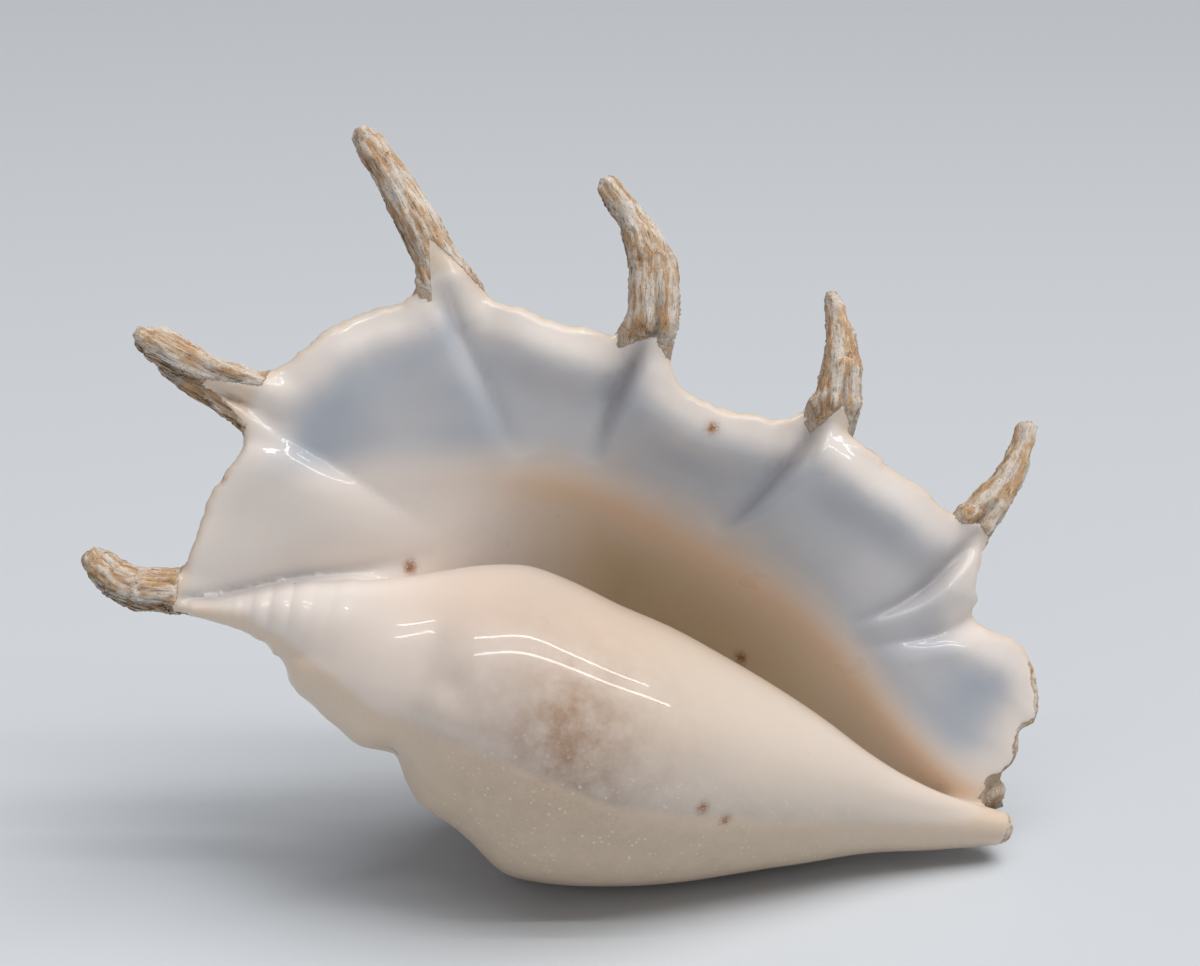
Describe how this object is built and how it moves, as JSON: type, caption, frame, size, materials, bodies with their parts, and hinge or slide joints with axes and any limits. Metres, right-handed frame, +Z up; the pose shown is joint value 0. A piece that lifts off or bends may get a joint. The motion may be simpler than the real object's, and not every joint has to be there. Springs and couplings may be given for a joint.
{
  "type": "spider conch shell",
  "caption": "Large conch shell with hooked digits on a broad flared lip and a smooth glazed body, resting on its body whorl with the opening to the front.",
  "frame": {"origin": "centre of the bounding box in X and Y, on the ground plane that the shell rests on", "axes": "+Z up, -Y out of the shell's opening towards the viewer, +X from the pointed spire towards the canal"},
  "size_m": [0.2966, 0.126, 0.2226],
  "materials": {
    "shell": "glossy porcelain-like glaze on the body and lip, chalky weathered crust on the digits and back"
  },
  "bodies": {
    "root": {"shell": "shell"}
  },
  "joints": []
}
